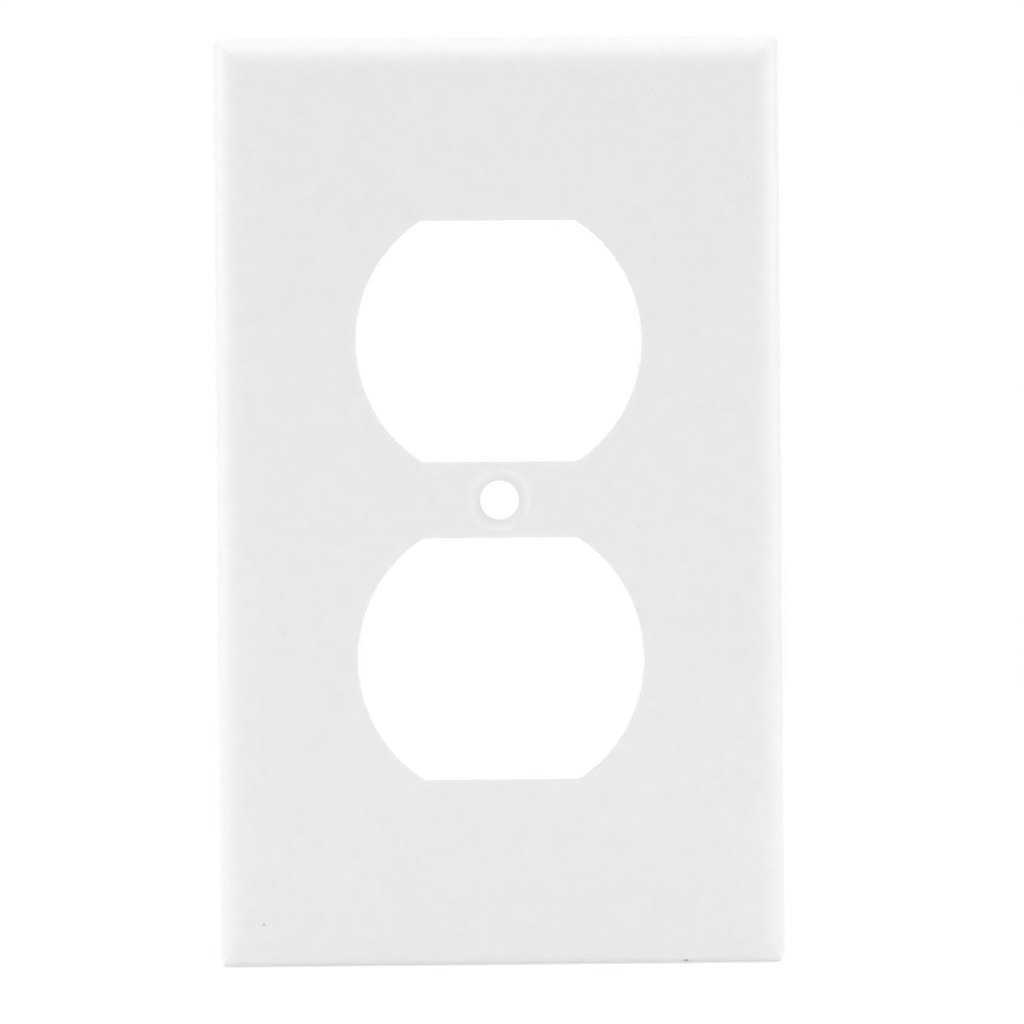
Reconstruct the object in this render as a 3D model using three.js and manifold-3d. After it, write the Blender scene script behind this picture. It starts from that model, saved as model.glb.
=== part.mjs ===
// A one-gang cover plate for a duplex receptacle: one plastic moulding, open at the back.
// Millimetres, +Z up. The front faces -Y and the rim's back face, which meets the wall, is at Y = 0.
// The origin is on the axis of the centre screw hole, in the plane of the wall.
import * as THREE from "three";
import { mergeVertices } from "three/addons/utils/BufferGeometryUtils.js";
import Module from "manifold-3d";

const wasm = await Module();
wasm.setup();

// Plate
const PLATE_WIDTH = 69.85;
const PLATE_HEIGHT = 114.3;
const PLATE_DEPTH = 5.6;
const CORNER_RADIUS = 0.9;
const SIDE_DRAFT = 0.12; // how far each side leans in between the wall and the shoulder
const SHOULDER_WIDTH = 5.0; // the rolled edge round the face, seen from the front
const SHOULDER_DEPTH = 2.8;
const FACE_THICKNESS = 2.0;
const RIM_THICKNESS = 1.9;
const CAVITY_SHOULDER = 1.2; // the blend between the rim and the face, inside

// Receptacle openings
const OPENING_RADIUS = 17.5;
const OPENING_HALF_FLAT = 14.75; // from an opening's centre to its top or bottom flat
const OPENING_SPACING = 38.9; // between the two centres
const COLLAR_THICKNESS = 1.4;
const COLLAR_BACK = 1.8; // how far the collars stop short of the wall
const WEB_WIDTH = 21.0; // the block that joins the two collars

// Centre screw hole, countersunk for an oval-head 6-32 screw
const HOLE_RADIUS = 2.4;
const COUNTERSINK_RADIUS = 3.7;
const COUNTERSINK_HALF_ANGLE = THREE.MathUtils.degToRad(41);
const BOSS_RADIUS = 4.0;
const BOSS_BACK = 1.6; // how far the boss stops short of the wall

// Ribs on the back of the face
const RIB_THICKNESS = 1.2;
const RIB_BACK = 2.2; // how far the ribs stop short of the wall
const UPRIGHT_RIB_OFFSET = 8.0; // from the centre line to an upright rib

const ARC_SEGMENTS = 24;
const SHOULDER_SEGMENTS = 10;
const HOLE_SEGMENTS = 48;
const CUT = 1.0; // how far a cutting solid runs past what it cuts
const OVERLAP = 0.4; // how far joined features run into each other

const CAVITY_DEPTH = PLATE_DEPTH - FACE_THICKNESS;
const OPENING_CENTRES = [OPENING_SPACING / 2, -OPENING_SPACING / 2];

// A closed three.js geometry as a solid that can be joined and cut.
function solid(geometry) {
  geometry.deleteAttribute("normal");
  geometry.deleteAttribute("uv");
  const merged = mergeVertices(geometry, 1e-4);
  return new wasm.Manifold(
    new wasm.Mesh({
      numProp: 3,
      vertProperties: merged.attributes.position.array,
      triVerts: new Uint32Array(merged.index.array),
    }),
  );
}

// A solid as a three.js geometry, with flat facets.
function geometryOf(manifold) {
  const mesh = manifold.getMesh();
  const geometry = new THREE.BufferGeometry();
  geometry.setAttribute("position", new THREE.BufferAttribute(mesh.vertProperties, 3));
  geometry.setIndex(new THREE.BufferAttribute(mesh.triVerts, 1));
  const faceted = geometry.toNonIndexed();
  faceted.computeVertexNormals();
  return faceted;
}

// An outline in the plane of the wall (x, z), extruded from one distance off the wall to another.
function prism(outline, fromWall, toWall) {
  const geometry = new THREE.ExtrudeGeometry(outline, {
    depth: toWall - fromWall,
    bevelEnabled: false,
    curveSegments: ARC_SEGMENTS,
  });
  geometry.rotateX(Math.PI / 2);
  geometry.translate(0, -fromWall, 0);
  return solid(geometry);
}

function rectangle(centreX, centreZ, width, height) {
  const [x0, x1] = [centreX - width / 2, centreX + width / 2];
  const [z0, z1] = [centreZ - height / 2, centreZ + height / 2];
  return new THREE.Shape([
    new THREE.Vector2(x0, z0),
    new THREE.Vector2(x1, z0),
    new THREE.Vector2(x1, z1),
    new THREE.Vector2(x0, z1),
  ]);
}

function roundedRectangle(width, height, radius) {
  const [x, z] = [width / 2 - radius, height / 2 - radius];
  return new THREE.Shape()
    .absarc(x, z, radius, 0, Math.PI / 2)
    .absarc(-x, z, radius, Math.PI / 2, Math.PI)
    .absarc(-x, -z, radius, Math.PI, 1.5 * Math.PI)
    .absarc(x, -z, radius, 1.5 * Math.PI, 2 * Math.PI);
}

// A circle with its top and bottom cut off flat: the outline of a duplex receptacle's face.
function duplexOutline(centreZ, radius, halfFlat) {
  const reach = Math.asin(halfFlat / radius);
  return new THREE.Shape()
    .absarc(0, centreZ, radius, -reach, reach)
    .absarc(0, centreZ, radius, Math.PI - reach, Math.PI + reach);
}

// The section of a pan with drafted sides and elliptical shoulders, symmetric about its centre line.
// Its first axis runs along the span. Its second runs towards the wall, which is at 0.
function panSection({ span, depth, draft, shoulderWidth, shoulderDepth, mouth }) {
  const edge = span / 2 - draft;
  const centre = edge - shoulderWidth;
  const sides = depth - shoulderDepth;
  const quarter = Math.PI / 2;
  const section = new THREE.Shape();
  section.moveTo(-span / 2, mouth);
  section.lineTo(span / 2, mouth);
  section.lineTo(span / 2, 0);
  section.lineTo(edge, -sides);
  section.absellipse(centre, -sides, shoulderWidth, shoulderDepth, 0, -quarter, true);
  section.absellipse(-centre, -sides, shoulderWidth, shoulderDepth, -quarter, -2 * quarter, true);
  section.lineTo(-span / 2, 0);
  return section;
}

// A pan is what two such sections, one along its width and one along its height, have in common.
function pan({ width, height, cornerRadius, ...shape }) {
  const reach = height + width;
  const extrude = (span) =>
    new THREE.ExtrudeGeometry(panSection({ span, ...shape }), {
      depth: reach,
      bevelEnabled: false,
      curveSegments: SHOULDER_SEGMENTS,
    }).translate(0, 0, -reach / 2);
  const acrossWidth = solid(extrude(width));
  const acrossHeight = solid(extrude(height).rotateY(-Math.PI / 2));
  const outline = roundedRectangle(width, height, cornerRadius);
  const corners = prism(outline, -shape.mouth - CUT, shape.depth + CUT);
  return acrossWidth.intersect(acrossHeight).intersect(corners);
}

function outerShell() {
  return pan({
    width: PLATE_WIDTH,
    height: PLATE_HEIGHT,
    depth: PLATE_DEPTH,
    draft: SIDE_DRAFT,
    shoulderWidth: SHOULDER_WIDTH,
    shoulderDepth: SHOULDER_DEPTH,
    cornerRadius: CORNER_RADIUS,
    mouth: 0,
  });
}

function cavity() {
  return pan({
    width: PLATE_WIDTH - 2 * RIM_THICKNESS,
    height: PLATE_HEIGHT - 2 * RIM_THICKNESS,
    depth: CAVITY_DEPTH,
    draft: SIDE_DRAFT,
    shoulderWidth: CAVITY_SHOULDER,
    shoulderDepth: CAVITY_SHOULDER,
    cornerRadius: CORNER_RADIUS,
    mouth: CUT,
  });
}

// The raised walls round both openings, and the web between them that carries the screw boss.
function collars() {
  const radius = OPENING_RADIUS + COLLAR_THICKNESS;
  const halfFlat = OPENING_HALF_FLAT + COLLAR_THICKNESS;
  const outlines = OPENING_CENTRES.map((z) => duplexOutline(z, radius, halfFlat));
  outlines.push(rectangle(0, 0, WEB_WIDTH, OPENING_SPACING));
  return outlines
    .map((outline) => prism(outline, COLLAR_BACK, CAVITY_DEPTH + OVERLAP))
    .reduce((joined, feature) => joined.add(feature));
}

function screwBoss() {
  const outline = new THREE.Shape().absarc(0, 0, BOSS_RADIUS, 0, 2 * Math.PI);
  return prism(outline, BOSS_BACK, CAVITY_DEPTH + OVERLAP);
}

// Two level ribs run from each collar to the long sides, and two upright ones to the short side.
function ribs() {
  const rimX = PLATE_WIDTH / 2 - RIM_THICKNESS;
  const rimZ = PLATE_HEIGHT / 2 - RIM_THICKNESS;
  const collarX = OPENING_RADIUS + COLLAR_THICKNESS;
  const collarZ = OPENING_SPACING / 2 + OPENING_HALF_FLAT + COLLAR_THICKNESS;
  const levelLength = rimX - collarX + 2 * OVERLAP;
  const uprightLength = rimZ - collarZ + 2 * OVERLAP;
  const outlines = [];
  for (const side of [-1, 1]) {
    for (const z of OPENING_CENTRES) {
      outlines.push(rectangle((side * (rimX + collarX)) / 2, z, levelLength, RIB_THICKNESS));
      const uprightZ = (Math.sign(z) * (rimZ + collarZ)) / 2;
      outlines.push(rectangle(side * UPRIGHT_RIB_OFFSET, uprightZ, RIB_THICKNESS, uprightLength));
    }
  }
  return outlines
    .map((outline) => prism(outline, RIB_BACK, CAVITY_DEPTH + OVERLAP))
    .reduce((joined, rib) => joined.add(rib));
}

// Cutters run past both faces of the plate.
function openings() {
  return OPENING_CENTRES.map((z) =>
    prism(duplexOutline(z, OPENING_RADIUS, OPENING_HALF_FLAT), -CUT, PLATE_DEPTH + CUT),
  ).reduce((joined, opening) => joined.add(opening));
}

function screwHole() {
  const slope = Math.tan(COUNTERSINK_HALF_ANGLE);
  const coneDepth = (COUNTERSINK_RADIUS - HOLE_RADIUS) / slope;
  const profile = [
    new THREE.Vector2(0, -PLATE_DEPTH - CUT),
    new THREE.Vector2(COUNTERSINK_RADIUS + CUT * slope, -PLATE_DEPTH - CUT),
    new THREE.Vector2(HOLE_RADIUS, -PLATE_DEPTH + coneDepth),
    new THREE.Vector2(HOLE_RADIUS, CUT),
    new THREE.Vector2(0, CUT),
  ];
  return solid(new THREE.LatheGeometry(profile, HOLE_SEGMENTS));
}

function wallPlate() {
  const moulding = outerShell()
    .subtract(cavity())
    .add(collars())
    .add(screwBoss())
    .add(ribs())
    .subtract(openings())
    .subtract(screwHole());
  const whitePlastic = new THREE.MeshStandardMaterial({
    color: 0xf0f1ef,
    roughness: 0.38,
    metalness: 0,
  });
  const mesh = new THREE.Mesh(geometryOf(moulding), whitePlastic);
  mesh.name = "wall_plate";
  return mesh;
}

const duplexWallPlate = new THREE.Group();
duplexWallPlate.add(wallPlate());

export default duplexWallPlate;
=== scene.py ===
"""The looks of a one-gang duplex wall plate: one white plastic moulding, seen from the front.

The plate is modelled in millimetres and scaled to metres once its mesh is final. As in the frame,
+X is right and +Z is up seen from the front, the front faces -Y, and the wall that the rim meets
is the plane Y = 0.
"""

import math

import bmesh
import bpy
from mathutils import Matrix, Vector


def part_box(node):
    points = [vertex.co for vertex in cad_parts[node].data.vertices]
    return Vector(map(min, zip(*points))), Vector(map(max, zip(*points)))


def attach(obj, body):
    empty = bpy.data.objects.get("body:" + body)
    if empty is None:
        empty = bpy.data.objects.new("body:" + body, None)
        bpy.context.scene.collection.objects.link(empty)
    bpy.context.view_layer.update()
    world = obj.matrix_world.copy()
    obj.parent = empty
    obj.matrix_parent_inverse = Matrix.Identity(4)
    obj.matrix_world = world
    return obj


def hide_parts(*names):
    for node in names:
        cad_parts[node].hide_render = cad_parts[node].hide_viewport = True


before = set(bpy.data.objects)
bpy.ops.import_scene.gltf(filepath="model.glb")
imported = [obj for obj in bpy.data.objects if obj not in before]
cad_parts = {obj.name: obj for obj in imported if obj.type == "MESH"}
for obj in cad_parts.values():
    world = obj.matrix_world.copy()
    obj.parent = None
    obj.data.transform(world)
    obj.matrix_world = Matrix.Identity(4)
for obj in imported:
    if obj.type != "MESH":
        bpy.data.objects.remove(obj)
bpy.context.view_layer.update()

MM = 0.001

# Plate, in millimetres. Its outer size comes from the frame.
CAD_LOW, CAD_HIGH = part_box("wall_plate")
WIDTH = (CAD_HIGH.x - CAD_LOW.x) / MM
HEIGHT = (CAD_HIGH.z - CAD_LOW.z) / MM
DEPTH = (CAD_HIGH.y - CAD_LOW.y) / MM
CORNER_RADIUS = 0.9
INNER_CORNER = 0.1
SIDE_DRAFT = 0.12
SHOULDER_WIDTH = 5.0
SHOULDER_DEPTH = 2.8
FACE_THICKNESS = 2.0
RIM_THICKNESS = 1.9
CAVITY_SHOULDER = 1.2

# Receptacle openings
OPENING_RADIUS = 17.5
OPENING_HALF_FLAT = 14.75
OPENING_CENTRES = (19.45, -19.45)
COLLAR_THICKNESS = 1.4
COLLAR_BACK = -1.8
WEB_WIDTH = 21.0

# Centre screw hole
HOLE_RADIUS = 2.4
COUNTERSINK_RADIUS = 3.7
COUNTERSINK_HALF_ANGLE = math.radians(41)
BOSS_RADIUS = 4.0
BOSS_BACK = -1.6

# Ribs and ejector-pin marks on the back of the face
RIB_THICKNESS = 1.2
RIB_BACK = -2.2
UPRIGHT_RIB_OFFSET = 8.0
PIN_MARK_RADIUS = 2.0
PIN_MARK_DEPTH = 0.15
PIN_MARK_OFFSETS = (27.0, 48.0)

# Radii that the mould leaves on the edges, and the least angle between the faces at an edge
FRONT_EDGE = 0.12
SCREW_EDGE = 0.15
SCREW_LIP = 0.45
BACK_EDGE = 0.18
SHARP_ANGLE = math.radians(28)
FILLET_STEPS = 3

# How far from a radius or level an edge may lie and still be taken as part of the screw hole
SCREW_MARGIN = 0.4

# How finely curves are divided. An odd number of steps round the openings keeps the collars'
# points clear of the ribs' sides.
OPENING_STEPS = 63
CORNER_STEPS = 8
SHOULDER_STEPS = 16
HOLE_STEPS = 96

# How far a cutting form reaches past the surface it cuts, and a joined form into the plate
CUT = 1.0
OVERLAP = 0.4

# Levels and half sizes that follow from the ones above. What is joined to the back of the face
# starts a little inside it.
FACE = -DEPTH
CAVITY_FLOOR = FACE_THICKNESS - DEPTH
JOINED_FROM = CAVITY_FLOOR - OVERLAP
RIM_X = WIDTH / 2 - RIM_THICKNESS
RIM_Z = HEIGHT / 2 - RIM_THICKNESS

# White plastic. Colours are in linear light.
COOL_WHITE = (0.802, 0.810, 0.811)
COOL_SHADE = (0.782, 0.790, 0.791)
WARM_WHITE = (0.808, 0.811, 0.808)
WARM_SHADE = (0.788, 0.791, 0.787)
ROUGHNESS = (0.33, 0.42)
REFRACTIVE_INDEX = 1.5

# Light inside the plastic: its share, how far it reaches, and how that differs for red, green
# and blue
SUBSURFACE = 0.3
SUBSURFACE_DEPTH = 0.7 * MM
SUBSURFACE_REACH = (1, 0.9, 0.8)

# Each noise: how wide its patches are, in metres, and how many finer layers are laid over them
FLOW = (14 * MM, 2)
MOTTLE = (1.6 * MM, 3)
GLOSS = (5 * MM, 4)
PEEL = (1.4 * MM, 1)
GRAIN = (0.28 * MM, 2)
PEEL_DEPTH = 0.008 * MM
GRAIN_DEPTH = 0.004 * MM
NOISE_MIDDLE = (0.3, 0.7)

# Specks, and a spot of painted shade for a nick in the lower edge. Each larger one: its place
# and radius, in millimetres, and its colour.
SPECK_SPACING = 4 * MM
FINE_SPECK_RADIUS = 0.04 * MM
FINE_SPECK = (0.45, 0.44, 0.42)
LARGE_SPECKS_AND_NICK_SHADE = (
    (-29.25, FACE, -51.7, 0.11, (0.55, 0.54, 0.52)),
    # Painted shade: a dark spot on the lower edge where the plate has a small nick
    (22.5, -3.8, -56.95, 0.21, (0.22, 0.21, 0.19)),
)

# Camera: focal length and place in millimetres, turn in degrees
CAMERA_LENS = 150
CAMERA_PLACE = (-8.86, -528.0, -4.69)
CAMERA_TURN = (90.35, 0.45, -1.13)

# Tent and floor: radiance, where 1 is the white of the background, and the floor's side in metres
WHITE = (1, 1, 1, 1)
TENT_FRONT = 0.0
TENT_BEHIND = 1.19
FLOOR_SIZE = 1.8
FLOOR_COLOUR = (0.72, 0.72, 0.72, 1)
FLOOR_ROUGHNESS = 0.9
FLOOR_GLOW = 0.41

# Each softbox: azimuth and elevation in degrees, distance and side in metres, radiance
SOFTBOXES = {
    "left_softbox": (-76, 0, 1.8, 1.4, 2.45),
    "right_softbox": (73, 0, 1.8, 1.4, 2.32),
    "top_softbox": (-3, 59, 2.0, 1.5, 2.5),
    "overhead_softbox": (0, 90, 2.0, 1.5, 1.5),
}


# ---- Outlines, as lists of (x, z) ----------------------------------------------------------


def arc(centre_x, centre_z, radius, start, end, steps):
    """Points on an arc, both ends included. Angles are in radians, from +X towards +Z."""
    points = []
    for i in range(steps + 1):
        angle = start + (end - start) * i / steps
        points.append((centre_x + radius * math.cos(angle), centre_z + radius * math.sin(angle)))
    return points


def rectangle(centre_x, centre_z, width, height):
    x, z = width / 2, height / 2
    corners = ((1, -1), (1, 1), (-1, 1), (-1, -1))
    return [(centre_x + side_x * x, centre_z + side_z * z) for side_x, side_z in corners]


def rounded_rectangle(width, height, radius):
    x, z = width / 2 - radius, height / 2 - radius
    quarter = math.pi / 2
    corners = ((x, z), (-x, z), (-x, -z), (x, -z))
    points = []
    for i, (centre_x, centre_z) in enumerate(corners):
        points += arc(centre_x, centre_z, radius, i * quarter, (i + 1) * quarter, CORNER_STEPS)
    return points


def circle(radius):
    return arc(0, 0, radius, 0, 2 * math.pi, HOLE_STEPS)[:-1]


def duplex(centre_z, radius, half_flat):
    """A circle with its top and bottom cut off flat: the outline of a duplex receptacle's face."""
    reach = math.asin(half_flat / radius)
    right = arc(0, centre_z, radius, -reach, reach, OPENING_STEPS)
    left = arc(0, centre_z, radius, math.pi - reach, math.pi + reach, OPENING_STEPS)
    return right + left


# ---- Closed meshes -------------------------------------------------------------------------


def loft(name, rings):
    """A closed solid skinned through rings, each a (list of (x, z), y).

    All rings have equally many points.
    """
    mesh = bmesh.new()
    layers = [[mesh.verts.new((x, y, z)) for x, z in outline] for outline, y in rings]
    for lower, upper in zip(layers, layers[1:]):
        for i in range(len(lower)):
            mesh.faces.new((lower[i - 1], lower[i], upper[i], upper[i - 1]))
    mesh.faces.new(layers[0])
    mesh.faces.new(layers[-1])
    bmesh.ops.recalc_face_normals(mesh, faces=mesh.faces)
    data = bpy.data.meshes.new(name)
    mesh.to_mesh(data)
    mesh.free()
    piece = bpy.data.objects.new(name, data)
    bpy.context.scene.collection.objects.link(piece)
    return piece


def prism(name, outline, start, end):
    return loft(name, [(outline, start), (outline, end)])


def pan(name, width, height, mouth, depth, shoulder_width, shoulder_depth):
    """A shallow closed form with drafted sides and a quarter-ellipse shoulder round its floor.

    It starts at the level mouth, and its floor lies as deep as depth in front of the wall. The
    corners' radius shrinks as the sides move in, so that the shoulders meet in a fine mitre.
    """
    side = depth - shoulder_depth
    rings = [(rounded_rectangle(width, height, CORNER_RADIUS), mouth)]
    for i in range(SHOULDER_STEPS + 1):
        angle = math.pi / 2 * i / SHOULDER_STEPS
        inset = SIDE_DRAFT + shoulder_width * (1 - math.cos(angle))
        level = -side - shoulder_depth * math.sin(angle)
        radius = max(INNER_CORNER, CORNER_RADIUS - inset)
        outline = rounded_rectangle(width - 2 * inset, height - 2 * inset, radius)
        rings.append((outline, level))
    return loft(name, rings)


def bake(piece):
    """Makes the modifiers' result the piece's own mesh."""
    depsgraph = bpy.context.evaluated_depsgraph_get()
    result = bpy.data.meshes.new_from_object(piece.evaluated_get(depsgraph))
    piece.modifiers.clear()
    piece.data = result


def combine(piece, operation, tools):
    """Joins the tools to the piece, or cuts them from it, and removes them."""
    for tool in tools:
        modifier = piece.modifiers.new(operation.lower(), "BOOLEAN")
        modifier.operation = operation
        modifier.solver = "EXACT"
        modifier.object = tool
        bake(piece)
        bpy.data.objects.remove(tool)


# ---- Features of the plate -----------------------------------------------------------------


def outer_shell():
    return pan("wall_plate_moulding", WIDTH, HEIGHT, 0, DEPTH, SHOULDER_WIDTH, SHOULDER_DEPTH)


def cavity():
    width, height = 2 * RIM_X, 2 * RIM_Z
    return pan("cavity", width, height, CUT, -CAVITY_FLOOR, CAVITY_SHOULDER, CAVITY_SHOULDER)


def collars():
    """The raised walls round the openings, and the web between them that carries the boss."""
    radius = OPENING_RADIUS + COLLAR_THICKNESS
    half_flat = OPENING_HALF_FLAT + COLLAR_THICKNESS
    made = []
    for centre_z in OPENING_CENTRES:
        outline = duplex(centre_z, radius, half_flat)
        made.append(prism("collar", outline, JOINED_FROM, COLLAR_BACK))
    web = rectangle(0, 0, WEB_WIDTH, OPENING_CENTRES[0] - OPENING_CENTRES[1])
    made.append(prism("web", web, JOINED_FROM, COLLAR_BACK))
    return made


def screw_boss():
    return prism("boss", circle(BOSS_RADIUS), JOINED_FROM, BOSS_BACK)


def ribs():
    """A level rib from each collar to each long side, and two upright ribs to the short side."""
    collar_x = OPENING_RADIUS + COLLAR_THICKNESS
    collar_z = OPENING_CENTRES[0] + OPENING_HALF_FLAT + COLLAR_THICKNESS
    level_length = RIM_X - collar_x + 2 * OVERLAP
    upright_length = RIM_Z - collar_z + 2 * OVERLAP
    made = []
    for side in (-1, 1):
        for centre_z in OPENING_CENTRES:
            x = side * (RIM_X + collar_x) / 2
            z = math.copysign((RIM_Z + collar_z) / 2, centre_z)
            level = rectangle(x, centre_z, level_length, RIB_THICKNESS)
            upright = rectangle(side * UPRIGHT_RIB_OFFSET, z, RIB_THICKNESS, upright_length)
            made.append(prism("level_rib", level, JOINED_FROM, RIB_BACK))
            made.append(prism("upright_rib", upright, JOINED_FROM, RIB_BACK))
    return made


def openings():
    outlines = [duplex(z, OPENING_RADIUS, OPENING_HALF_FLAT) for z in OPENING_CENTRES]
    return [prism("opening", outline, FACE - CUT, CUT) for outline in outlines]


def screw_hole():
    slope = math.tan(COUNTERSINK_HALF_ANGLE)
    cone_depth = (COUNTERSINK_RADIUS - HOLE_RADIUS) / slope
    mouth = circle(COUNTERSINK_RADIUS + CUT * slope)
    bore = circle(HOLE_RADIUS)
    return loft("screw_hole", [(mouth, FACE - CUT), (bore, FACE + cone_depth), (bore, CUT)])


def pin_marks():
    """The shallow round dents that the mould's ejector pins leave in the floor of the cavity."""
    offset_x, offset_z = PIN_MARK_OFFSETS
    start = CAVITY_FLOOR - PIN_MARK_DEPTH
    end = CAVITY_FLOOR + PIN_MARK_DEPTH
    marks = []
    for side_x, side_z in ((1, 1), (-1, 1), (-1, -1), (1, -1)):
        centre_x = side_x * offset_x
        centre_z = side_z * offset_z
        outline = [(centre_x + x, centre_z + z) for x, z in circle(PIN_MARK_RADIUS)]
        marks.append(prism("pin_mark", outline, start, end))
    return marks


def edge_radius(edge):
    """The radius that the mould leaves on an edge, or 0 where the surface runs on smoothly.

    The screw hole's edges lie near its axis. Those at the back of its boss count as back edges.
    """
    if len(edge.link_faces) != 2 or edge.calc_face_angle(0) < SHARP_ANGLE:
        return 0
    middle = (edge.verts[0].co + edge.verts[1].co) / 2
    near_screw = math.hypot(middle.x, middle.z) < COUNTERSINK_RADIUS + SCREW_MARGIN
    if near_screw and middle.y < COLLAR_BACK - SCREW_MARGIN:
        return SCREW_LIP if middle.y < FACE + SCREW_MARGIN else SCREW_EDGE
    return FRONT_EDGE if middle.y < CAVITY_FLOOR else BACK_EDGE


def round_edges(piece):
    """Rounds each edge by its own radius, given to the bevel as a share of the widest."""
    widest = max(FRONT_EDGE, SCREW_EDGE, SCREW_LIP, BACK_EDGE)
    mesh = bmesh.new()
    mesh.from_mesh(piece.data)
    weights = mesh.edges.layers.float.new("bevel_weight_edge")
    for edge in mesh.edges:
        edge[weights] = edge_radius(edge) / widest
    mesh.to_mesh(piece.data)
    mesh.free()
    bevel = piece.modifiers.new("mould_radii", "BEVEL")
    bevel.limit_method = "WEIGHT"
    bevel.width = widest
    bevel.segments = FILLET_STEPS
    bake(piece)


def moulding():
    piece = outer_shell()
    combine(piece, "DIFFERENCE", [cavity()])
    combine(piece, "UNION", collars() + [screw_boss()] + ribs())
    combine(piece, "DIFFERENCE", openings() + [screw_hole()])
    round_edges(piece)
    combine(piece, "DIFFERENCE", pin_marks())
    piece.data.transform(Matrix.Scale(MM, 4))
    for face in piece.data.polygons:
        face.use_smooth = True
    smooth = piece.modifiers.new("flat_faces_stay_flat", "WEIGHTED_NORMAL")
    smooth.thresh = 0
    return piece


# ---- Material ------------------------------------------------------------------------------


def remapped(nodes, links, value, before, after):
    """Stretches the range before to the range after, and holds the ends outside it."""
    ramp = nodes.new("ShaderNodeMapRange")
    for socket, number in zip(("From Min", "From Max", "To Min", "To Max"), (*before, *after)):
        ramp.inputs[socket].default_value = number
    links.new(value, ramp.inputs["Value"])
    return ramp.outputs["Result"]


def noise(nodes, links, place, size, detail):
    """Smooth noise from 0 to 1 whose patches are about as wide as size, in metres."""
    texture = nodes.new("ShaderNodeTexNoise")
    texture.inputs["Scale"].default_value = 1 / size
    texture.inputs["Detail"].default_value = detail
    links.new(place, texture.inputs["Vector"])
    return texture.outputs["Fac"]


def mixed_colour(nodes, links, share, first, second):
    """Each colour is an output to read or a plain colour.

    A mix node has sockets of one name for several types, so its colour sockets go by number.
    """
    mix = nodes.new("ShaderNodeMix")
    mix.data_type = "RGBA"
    links.new(share, mix.inputs["Factor"])
    for socket, colour in ((mix.inputs[6], first), (mix.inputs[7], second)):
        if isinstance(colour, tuple):
            socket.default_value = (*colour, 1)
        else:
            links.new(colour, socket)
    return mix.outputs[2]


def dots(nodes, links, distance, radius):
    """1 within radius of a dot's centre, falling to 0 over as much again."""
    return remapped(nodes, links, distance, (radius, 2 * radius), (1, 0))


def speckled_and_nick_shaded(nodes, links, place, colour):
    """Adds the specks of moulded white plastic: fine ones strewn about, and the larger ones.

    Among the larger ones is a dark spot of painted shade, standing in for a nick in the lower
    edge.
    """
    cells = nodes.new("ShaderNodeTexVoronoi")
    cells.inputs["Scale"].default_value = 1 / SPECK_SPACING
    links.new(place, cells.inputs["Vector"])
    fine = dots(nodes, links, cells.outputs["Distance"], FINE_SPECK_RADIUS / SPECK_SPACING)
    colour = mixed_colour(nodes, links, fine, colour, FINE_SPECK)
    for x, y, z, radius, tint in LARGE_SPECKS_AND_NICK_SHADE:
        away = nodes.new("ShaderNodeVectorMath")
        away.operation = "DISTANCE"
        away.inputs[1].default_value = Vector((x, y, z)) * MM
        links.new(place, away.inputs[0])
        speck_or_nick_shade = dots(nodes, links, away.outputs["Value"], radius * MM)
        colour = mixed_colour(nodes, links, speck_or_nick_shade, colour, tint)
    return colour


def bumped(nodes, links, height, depth, normal=None):
    """A bump as deep as depth, in metres, on top of another one if given."""
    bump = nodes.new("ShaderNodeBump")
    bump.inputs["Distance"].default_value = depth
    links.new(height, bump.inputs["Height"])
    if normal:
        links.new(normal, bump.inputs["Normal"])
    return bump.outputs["Normal"]


def white_plastic():
    """Moulded white plastic between satin and gloss, faintly mottled.

    Its surface has a fine grain over orange peel.
    """
    material = bpy.data.materials.new("white_plastic")
    material.use_nodes = True
    nodes, links = material.node_tree.nodes, material.node_tree.links
    shader = nodes["Principled BSDF"]
    shader.inputs["IOR"].default_value = REFRACTIVE_INDEX
    shader.inputs["Subsurface Weight"].default_value = SUBSURFACE
    shader.inputs["Subsurface Scale"].default_value = SUBSURFACE_DEPTH
    shader.inputs["Subsurface Radius"].default_value = SUBSURFACE_REACH
    coordinates = nodes.new("ShaderNodeTexCoord")
    place = coordinates.outputs["Object"]

    flow = remapped(nodes, links, noise(nodes, links, place, *FLOW), NOISE_MIDDLE, (0, 1))
    mottle = remapped(nodes, links, noise(nodes, links, place, *MOTTLE), NOISE_MIDDLE, (0, 1))
    cool = mixed_colour(nodes, links, mottle, COOL_WHITE, COOL_SHADE)
    warm = mixed_colour(nodes, links, mottle, WARM_WHITE, WARM_SHADE)
    colour = speckled_and_nick_shaded(nodes, links, place, mixed_colour(nodes, links, flow, cool, warm))
    links.new(colour, shader.inputs["Base Color"])

    gloss = noise(nodes, links, place, *GLOSS)
    roughness = remapped(nodes, links, gloss, NOISE_MIDDLE, ROUGHNESS)
    links.new(roughness, shader.inputs["Roughness"])

    peel = bumped(nodes, links, noise(nodes, links, place, *PEEL), PEEL_DEPTH)
    grain = bumped(nodes, links, noise(nodes, links, place, *GRAIN), GRAIN_DEPTH, peel)
    links.new(grain, shader.inputs["Normal"])
    return material


# ---- Stage ---------------------------------------------------------------------------------


def camera():
    data = bpy.data.cameras.new("camera")
    data.lens = CAMERA_LENS
    viewer = bpy.data.objects.new("camera", data)
    viewer.location = Vector(CAMERA_PLACE) * MM
    viewer.rotation_euler = [math.radians(angle) for angle in CAMERA_TURN]
    bpy.context.scene.collection.objects.link(viewer)
    bpy.context.scene.camera = viewer


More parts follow.
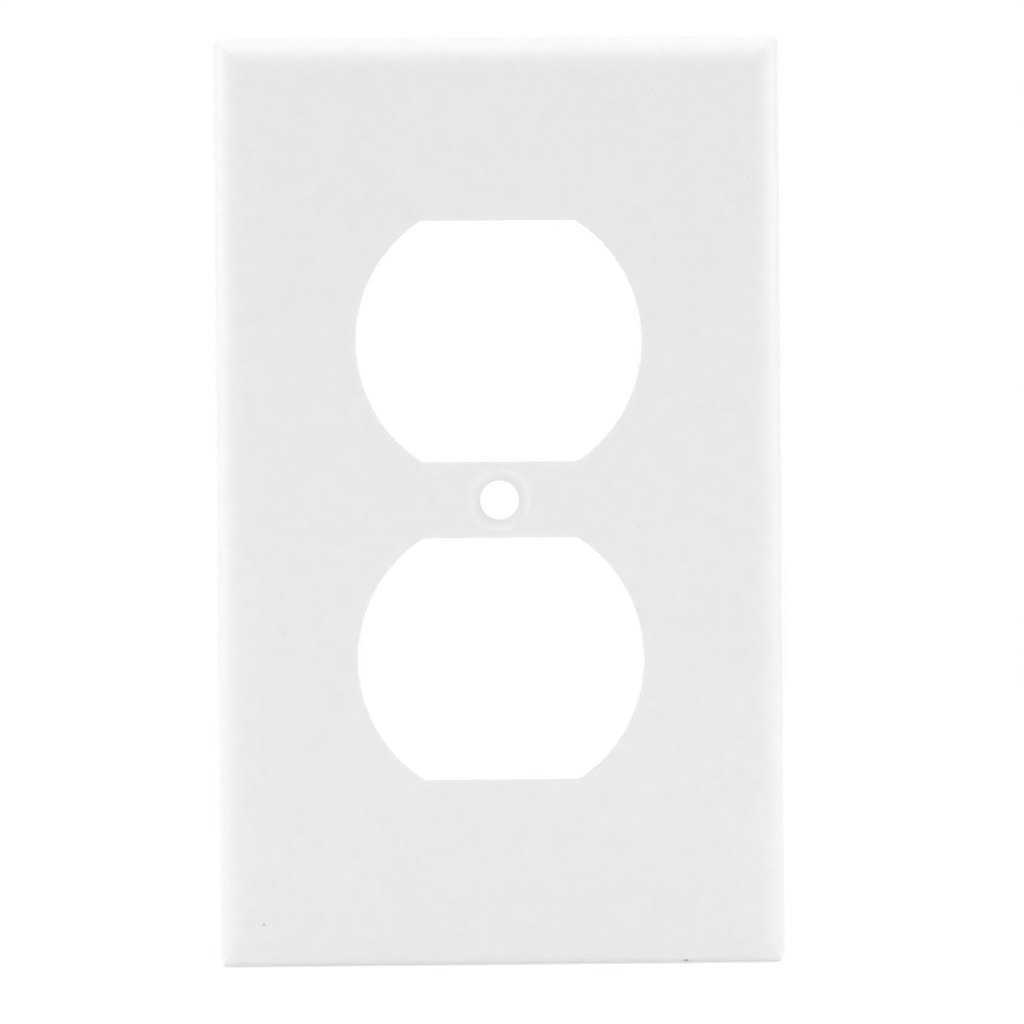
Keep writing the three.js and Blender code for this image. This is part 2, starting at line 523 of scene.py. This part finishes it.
def tent():
    """Soft light from a white tent, brightest behind the plate.

    The camera sees plain white in its place.
    """
    world = bpy.data.worlds.new("white_tent")
    bpy.context.scene.world = world
    world.use_nodes = True
    nodes, links = world.node_tree.nodes, world.node_tree.links
    direction = nodes.new("ShaderNodeTexCoord")
    axes = nodes.new("ShaderNodeSeparateXYZ")
    links.new(direction.outputs["Generated"], axes.inputs["Vector"])
    strength = remapped(nodes, links, axes.outputs["Y"], (-1, 1), (TENT_FRONT, TENT_BEHIND))
    light = nodes["Background"]
    light.inputs["Color"].default_value = WHITE
    links.new(strength, light.inputs["Strength"])
    white = nodes.new("ShaderNodeBackground")
    white.inputs["Color"].default_value = WHITE
    seen = nodes.new("ShaderNodeLightPath")
    either = nodes.new("ShaderNodeMixShader")
    links.new(seen.outputs["Is Camera Ray"], either.inputs["Fac"])
    links.new(light.outputs["Background"], either.inputs[1])
    links.new(white.outputs["Background"], either.inputs[2])
    links.new(either.outputs["Shader"], nodes["World Output"].inputs["Surface"])


def softbox(name, azimuth, elevation, distance, size, radiance):
    """A square area light that faces the plate.

    Azimuth 0 is in front of the plate and 90 to its right, and elevation 90 is straight above.
    A lamp's power is its radiance times pi times its area.
    """
    turn, lift = math.radians(azimuth), math.radians(elevation)
    x = math.sin(turn) * math.cos(lift)
    y = -math.cos(turn) * math.cos(lift)
    towards = Vector((x, y, math.sin(lift)))
    data = bpy.data.lights.new(name, "AREA")
    data.size = size
    data.energy = radiance * math.pi * size**2
    lamp = bpy.data.objects.new(name, data)
    lamp.location = towards * distance
    lamp.rotation_mode = "QUATERNION"
    lamp.rotation_quaternion = towards.to_track_quat("Z", "Y")
    lamp.visible_camera = False
    bpy.context.scene.collection.objects.link(lamp)


def floor():
    """A plain pale floor at the plate's lower edge.

    It glows a little, so that it looks as white as the tent.
    """
    half = FLOOR_SIZE / 2
    corners = [(-half, -half), (half, -half), (half, half), (-half, half)]
    data = bpy.data.meshes.new("floor")
    data.from_pydata([(x, y, CAD_LOW.z) for x, y in corners], [], [(0, 1, 2, 3)])
    piece = bpy.data.objects.new("floor", data)
    bpy.context.scene.collection.objects.link(piece)
    material = bpy.data.materials.new("floor")
    material.use_nodes = True
    shader = material.node_tree.nodes["Principled BSDF"]
    shader.inputs["Base Color"].default_value = FLOOR_COLOUR
    shader.inputs["Roughness"].default_value = FLOOR_ROUGHNESS
    shader.inputs["Specular IOR Level"].default_value = 0
    shader.inputs["Emission Color"].default_value = WHITE
    shader.inputs["Emission Strength"].default_value = FLOOR_GLOW
    data.materials.append(material)


bpy.context.scene.view_settings.view_transform = "Standard"
plate = moulding()
plate.data.materials.append(white_plastic())
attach(plate, "root")
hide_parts("wall_plate")
camera()
tent()
for softbox_name, settings in SOFTBOXES.items():
    softbox(softbox_name, *settings)
floor()
